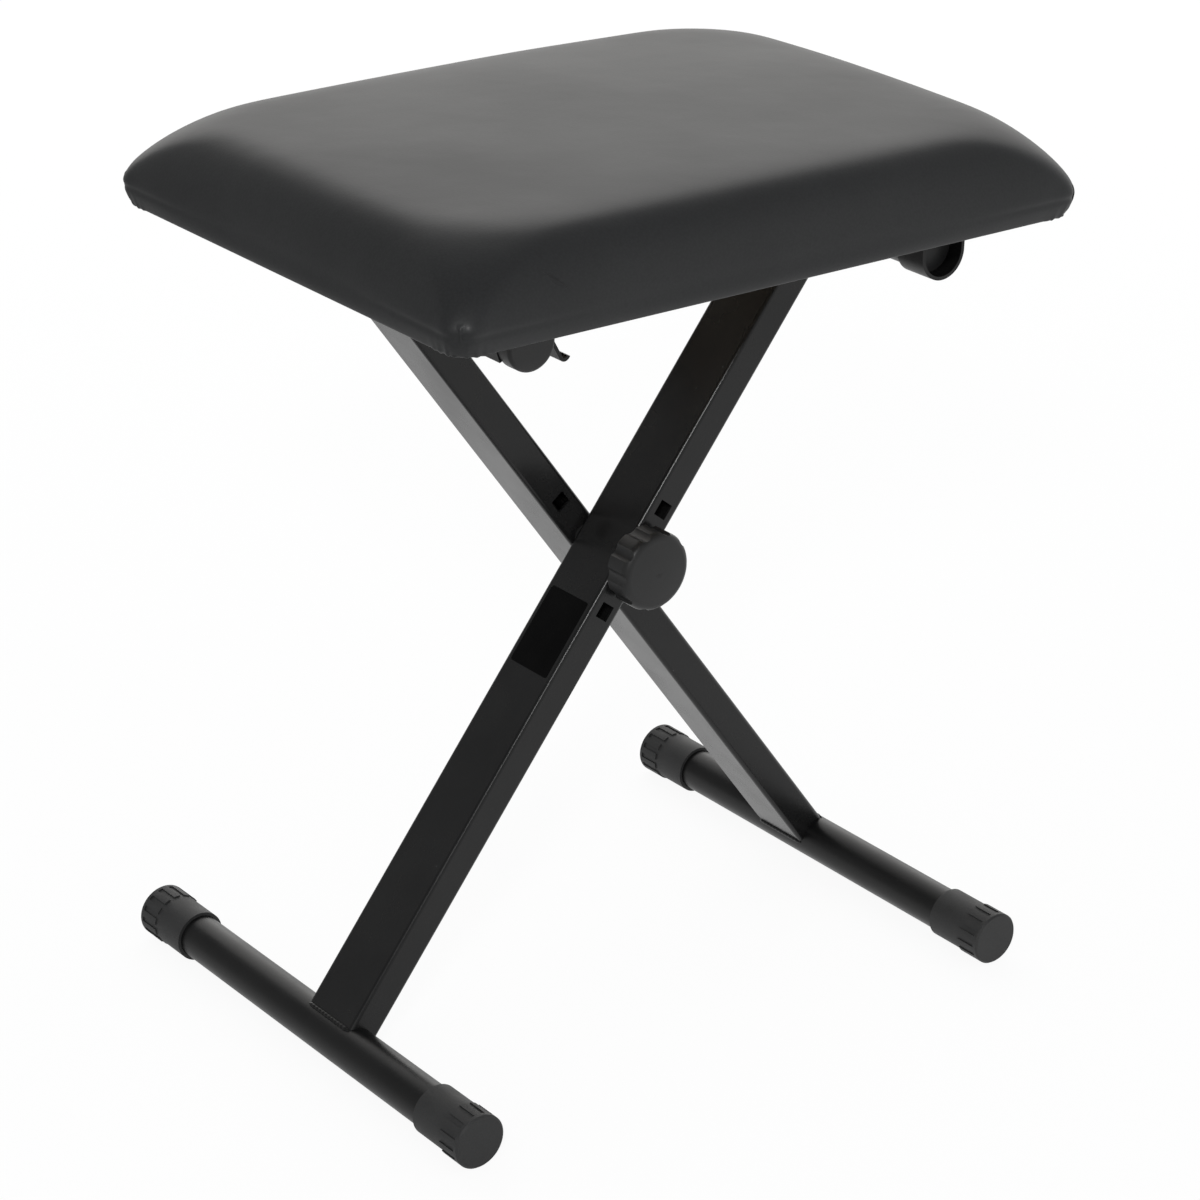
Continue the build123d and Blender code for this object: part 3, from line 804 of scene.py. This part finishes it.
def filled_by_cloth(slack):
    """Runs the cloth simulation and returns the filled points."""
    outside = np.ones(len(slack), bool)
    outside[: 4 * around] = False
    outside[len(rings) * around : len(rings) * around + len(hollow_points)] = False
    held = cushion.vertex_groups.new(name="held")
    hold = 1.0 - eased(slack[:, 2], free_above, free_above + free_band) * outside
    for number, weight in enumerate(hold):
        held.add([number], float(weight), "REPLACE")
    cloth = cushion.modifiers.new("fill", "CLOTH")
    cloth.settings.quality = 6
    cloth.settings.mass = 0.4
    cloth.settings.tension_stiffness = 40.0
    cloth.settings.compression_stiffness = 40.0
    cloth.settings.shear_stiffness = 15.0
    cloth.settings.bending_stiffness = 4.0
    cloth.settings.use_pressure = True
    cloth.settings.uniform_pressure_force = fill_pressure
    cloth.settings.effector_weights.gravity = 0.0
    cloth.settings.vertex_group_mass = held.name
    cloth.collision_settings.use_collision = False
    cloth.collision_settings.use_self_collision = False
    for step in range(1, fill_frames + 1):
        scene.frame_set(step)
    settled = cushion.evaluated_get(bpy.context.evaluated_depsgraph_get())
    filled_mesh = bpy.data.meshes.new_from_object(settled)
    filled = points_of(filled_mesh)
    bpy.data.meshes.remove(filled_mesh)
    cushion.modifiers.remove(cloth)
    cushion.vertex_groups.remove(held)
    scene.frame_set(1)
    return filled


def slow_waves(points):
    """Cosine waves over the seat that are nought at its edges, one column each."""
    along = math.pi / 2 * points[:, 0] / half_length
    across = math.pi / 2 * points[:, 1] / half_width
    return np.column_stack([np.cos(m * along) * np.cos(n * across) for m, n in wave_numbers])


slack_points = points_of(cushion_mesh)
waves = slow_waves(slack_points)
lift = filled_by_cloth(slack_points)[:, 2] - slack_points[:, 2]
on_top = slack_points[:, 2] > cover_high.z - crown_rise - top_margin
amounts = np.linalg.lstsq(waves[on_top], lift[on_top], rcond=None)[0]
rise = waves @ amounts
print("filled: the top rises by", round(lift[on_top].max() / MM, 2), "mm")
filled_points = slack_points.copy()
on_shoulder = eased(slack_points[:, 2], lip_height, cover_high.z - crown_rise)
filled_points[:, 2] += crown_rise * rise / rise.max() * on_shoulder
set_points(cushion_mesh, filled_points)

# %% [markdown]
# ## Seat: smoothing
# The rings are close enough for the form but too far apart for a clean sheen. One step of subdivision halves
# the quads, and it is applied at once, because the pleats that follow need the finer points.

# %% Smooth the form once
smooth_once = cushion.modifiers.new("smooth_once", "SUBSURF")
smooth_once.levels = 1
smoothed = cushion.evaluated_get(bpy.context.evaluated_depsgraph_get())
fine_mesh = bpy.data.meshes.new_from_object(smoothed)
cushion.modifiers.remove(smooth_once)
cushion.data = fine_mesh
fine_mesh.name = "seat_cushion"
cushion_mesh = fine_mesh
print("smoothed:", len(cushion_mesh.vertices), "points")

# %% [markdown]
# ## Seat: pleats and lip
# At each corner the spare vinyl is gathered under the board, which leaves small pleats along the bottom edge
# and a notch in the lip. These are narrower than the simulation can hold, so they are pressed into the
# finished form, each as a soft ridge or dent.

# %% Pleats at the corners
pleat_seed = 11
pleats_in_corner = 8
pleat_spread = math.radians(40)
pleat_wander = math.radians(1.2)
pleat_widths = (2.2, 3.8)
pleat_heights = (0.55, 1.0)
pleat_push = 0.45 * MM
pleat_drop = 0.55 * MM
pleat_rise = (1.0 * MM, 11.0 * MM)
pleat_foot = 2.5 * MM
corner_start = -9.0 * MM
corner_full = 2.0 * MM
corner_reach = (6.0 * MM, 12.0 * MM)
outside_rise = 12.0 * MM
notch_depth = 0.6 * MM
notch_half_angle = math.radians(7.0)
notch_half_height = 6.0 * MM
notch_rise = 1.0 * MM
lip_swell = 0.6 * MM
lip_angle = math.radians(19)
lip_half_angle = math.radians(11)
lip_half_height = 4.0 * MM
tuck_depth = 0.7 * MM
tuck_length = 42.0 * MM
tuck_drop = 2.5 * MM
tuck_half_height = 1.8 * MM
tuck_shares = (0.5, 0.8)
wall_margin = 0.8 * MM
hem_margin = 0.3 * MM
random = np.random.default_rng(pleat_seed)


def bell(distance, width):
    """A soft bump: 1 at its middle and nearly 0 past twice its width."""
    return np.exp(-((distance / width) ** 2))


def pleat_corner(points, sign_x, sign_y):
    """Gathers one corner: pleats on the skirt's foot and under the hem, and a notch in the lip."""
    centre_x = sign_x * (half_length - skirt_inset - gather_radius)
    centre_y = sign_y * (half_width - skirt_inset - gather_radius)
    out_x = (points[:, 0] - centre_x) * sign_x
    out_y = (points[:, 1] - centre_y) * sign_y
    reach = np.hypot(out_x, out_y)
    turn = np.arctan2(out_y, out_x) - math.radians(45)
    beside = eased(out_x, corner_start, corner_full) * eased(out_y, corner_start, corner_full)
    outer = eased(reach, *corner_reach) * beside
    foot = 1.0 - eased(points[:, 2] - cover_low.z, *pleat_rise)
    outside = points[:, 2] < board_high.z + outside_rise
    folds = np.zeros(len(points))
    for number in range(pleats_in_corner):
        middle = pleat_spread * (2 * number / (pleats_in_corner - 1) - 1)
        middle += random.normal(0, pleat_wander)
        width = math.radians(random.uniform(*pleat_widths))
        folds += random.uniform(*pleat_heights) * bell(turn - middle, width)
    shell = outer * outside * in_skin(points)
    push = folds * foot * shell * pleat_push
    drop = folds * shell * (points[:, 2] < cover_low.z + pleat_foot) * pleat_drop
    lip_rise = points[:, 2] - lip_height
    notch = bell(turn, notch_half_angle) * bell(lip_rise - notch_rise, notch_half_height)
    lips = bell(np.abs(turn) - lip_angle, lip_half_angle) * bell(lip_rise - notch_rise, lip_half_height)
    far = np.hypot(np.minimum(out_x, 0.0), np.minimum(out_y, 0.0))
    tuck = bell(far, tuck_length) * bell(lip_rise + tuck_drop, tuck_half_height) * outside
    tuck *= eased(np.maximum(out_x, out_y) / gather_radius, *tuck_shares) * in_skin(points)
    swell = push + shell * (lips * lip_swell - notch * notch_depth) - tuck * tuck_depth
    outward = np.column_stack((np.maximum(out_x, 0.0), np.maximum(out_y, 0.0)))
    outward /= np.maximum(np.linalg.norm(outward, axis=1), 1e-9)[:, None]
    points[:, 0] += sign_x * outward[:, 0] * swell
    points[:, 1] += sign_y * outward[:, 1] * swell
    points[:, 2] -= drop
    return points


def in_skin(points):
    """1 on the outer skin and the hem's underside, and 0 on the walls round the board."""
    near_board = (
        (np.abs(points[:, 0]) < board_half_length + wall_margin)
        & (np.abs(points[:, 1]) < board_half_width + wall_margin)
        & (points[:, 2] > board_low.z - hem_margin)
        & (points[:, 2] < board_high.z + wall_margin)
    )
    return 1.0 - near_board


points = points_of(cushion_mesh)
for sign_x, sign_y in quarter_signs:
    points = pleat_corner(points, sign_x, sign_y)
set_points(cushion_mesh, points)
print("pleats:", 4 * pleats_in_corner)

# %% [markdown]
# ## Seat: a living surface
# A very slow wave over the whole cover, a fraction of a millimetre, keeps the sheen from looking machined.
# Then the cushion takes its place on the seat: it rides the seat's body and stands in for the CAD cover and
# foam, whose solids don't show.

# %% Slow waves and the seat's place
wave_height = 0.22 * MM
wave_fade = 15.0 * MM
wave_along = 27.0 * MM
wave_across = 33.0 * MM
wave_bend = 1.3
wave_bend_across = 41.0 * MM
wave_start = 0.7
points = points_of(cushion_mesh)
lifted = eased(points[:, 2], board_high.z, board_high.z + wave_fade)
wave = np.sin(points[:, 0] / wave_along + wave_bend * np.sin(points[:, 1] / wave_bend_across))
wave += np.sin(points[:, 1] / wave_across + wave_start)
points[:, 2] += wave_height * (wave - wave.max()) / 2 * lifted
points[:, 0] += seat_middle_x
set_points(cushion_mesh, points)
cushion_mesh.materials.clear()
cushion_mesh.materials.append(leatherette)
cushion_mesh.polygons.foreach_set("use_smooth", [True] * len(cushion_mesh.polygons))
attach(cushion, "seat")
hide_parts("seat_cover", "seat_foam")
print("cushion top at", round(points[:, 2].max() / MM, 2), "mm")

# %% [markdown]
# ## Weld beads
# Each leg is coped to fit its round bars and welded along its two wide faces, so a bead lies in each of these
# corners. Each bead is a short tube that swells and thins a little and tapers at its ends, as a painted-over
# weld does. A bevelled curve would also do, but a mesh of rings keeps the ripple in one line.

# %% Weld beads
leg_half_depth = 10.0 * MM
bead_half_length = 19.0 * MM
bead_radius = 1.3 * MM
bead_steps = 60
bead_sides = 10
bead_ripple = 0.07
bead_ripples = 13
bead_end = 0.02
bead_fullness = 4


def weld_bead(name, leg, bar, body, face):
    """A bead along one wide face of a leg, where it stands on a bar; face is 1 or -1."""
    leg_low, leg_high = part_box(leg)
    bar_low, bar_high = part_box(bar)
    leg_middle = (leg_low + leg_high) / 2
    bar_middle = (bar_low + bar_high) / 2
    bar_radius = (bar_high.x - bar_low.x) / 2
    up_leg = Vector((leg_middle.x - bar_middle.x, 0.0, leg_middle.z - bar_middle.z)).normalized()
    across = Vector((up_leg.z, 0.0, -up_leg.x))
    rise = math.sqrt(bar_radius ** 2 - leg_half_depth ** 2)
    corner = bar_middle + across * face * leg_half_depth + up_leg * rise
    vertices = []
    for step in range(bead_steps + 1):
        share = step / bead_steps
        taper = min(1.0, (math.sin(math.pi * share) + bead_end) * bead_fullness) ** 0.5
        swell = bead_radius * taper * (1 + bead_ripple * math.sin(2 * math.pi * bead_ripples * share))
        y = leg_middle.y + (2 * share - 1) * bead_half_length
        for side in range(bead_sides):
            angle = 2 * math.pi * side / bead_sides
            place = corner + swell * (math.cos(angle) * across + math.sin(angle) * up_leg)
            vertices.append((place.x, y, place.z))
    faces = [tuple(range(bead_sides)), tuple(reversed(range(bead_steps * bead_sides, len(vertices))))]
    for step in range(bead_steps):
        for side in range(bead_sides):
            here = step * bead_sides
            beside = (side + 1) % bead_sides
            faces.append((here + side, here + bead_sides + side, here + bead_sides + beside, here + beside))
    mesh = bpy.data.meshes.new(name)
    mesh.from_pydata(vertices, [], faces)
    mesh.polygons.foreach_set("use_smooth", [True] * len(mesh.polygons))
    mesh.materials.append(bar_paint)
    bead = bpy.data.objects.new(name, mesh)
    scene.collection.objects.link(bead)
    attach(bead, body)


for end, leg, bar, body in (
    ("left_foot", "front_leg", "left_foot_bar", "front_leg_frame"),
    ("right_top", "front_leg", "right_top_bar", "front_leg_frame"),
    ("right_foot", "rear_leg", "right_foot_bar", "rear_leg_frame"),
    ("left_top", "rear_leg", "left_top_bar", "rear_leg_frame"),
):
    weld_bead(end + "_inner_weld", leg, bar, body, 1)
    weld_bead(end + "_outer_weld", leg, bar, body, -1)
print("weld beads: 8")

# %% [markdown]
# ## Glossy film on the front leg
# A thin glossy film is stuck on the front leg's upper wide face, just below the crossing. It is its own thin
# piece with rounded corners, because its crisp edge and deeper black show. A second finish on the leg's own
# face would need that face to be cut, and CAD pieces stay as they are.

# %% Glossy film
film_width = 32.0 * MM
film_length = 47.0 * MM
film_corner = 1.5 * MM
film_thickness = 0.15 * MM
film_below_crossing = 56.0 * MM
film_corner_steps = 6
film_bed = 0.05 * MM
film_edge_share = 0.6
film_edge_round = 0.12 * MM

film = new_finish("film")
film_marks = cloudy(film, 20.0, detail=5.0)
tones(film, film_marks, (0.3, grey(0.0008)), (0.7, grey(0.0016)))
rough(film, film_marks, 0.16, 0.26)
relief(film, cloudy(film, 12.0, detail=1.0), 0.05, 0.3)
shader_of(film).inputs["IOR"].default_value = 1.16


def film_outline(inset):
    """The film's outline across and along the leg, drawn in by inset."""
    half_x = film_width / 2 - inset
    half_y = film_length / 2 - inset
    outline = []
    for number, (sx, sy) in enumerate(((1, 1), (-1, 1), (-1, -1), (1, -1))):
        for step in range(film_corner_steps + 1):
            angle = math.radians(90 * number + 90 * step / film_corner_steps)
            outline.append((
                sx * (half_x - film_corner) + film_corner * math.cos(angle),
                sy * (half_y - film_corner) + film_corner * math.sin(angle),
            ))
    return outline


leg_low, leg_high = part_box("front_leg")
crossing = next(j for j in frame["joints"] if j["name"] == "leg_scissor")["pos_m"]
foot_low, foot_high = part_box("left_foot_bar")
foot_middle = (foot_low + foot_high) / 2
up_leg = Vector((crossing[0] - foot_middle.x, 0.0, crossing[2] - foot_middle.z)).normalized()
out_of_face = Vector((-up_leg.z, 0.0, up_leg.x))
film_middle = Vector((crossing[0], (leg_low.y + leg_high.y) / 2, crossing[2]))
film_middle += out_of_face * leg_half_depth - up_leg * film_below_crossing
film_vertices = []
film_levels = ((0.0, -film_bed), (0.0, film_thickness * film_edge_share), (film_edge_round, film_thickness))
for inset, rise in film_levels:
    for across, along in film_outline(inset):
        place = film_middle - Vector((0.0, 1.0, 0.0)) * across + up_leg * along + out_of_face * rise
        film_vertices.append(place)
film_round = len(film_vertices) // len(film_levels)
film_faces = [tuple(range(2 * film_round, 3 * film_round)), tuple(reversed(range(film_round)))]
for level in range(len(film_levels) - 1):
    for step in range(film_round):
        beside = (step + 1) % film_round
        lower = level * film_round
        upper = lower + film_round
        film_faces.append((lower + step, lower + beside, upper + beside, upper + step))
film_mesh = bpy.data.meshes.new("leg_film")
film_mesh.from_pydata(film_vertices, [], film_faces)
film_mesh.materials.append(film)
leg_film = bpy.data.objects.new("leg_film", film_mesh)
scene.collection.objects.link(leg_film)
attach(leg_film, "front_leg_frame")
print("film:", round(film_width / MM), "by", round(film_length / MM), "mm")
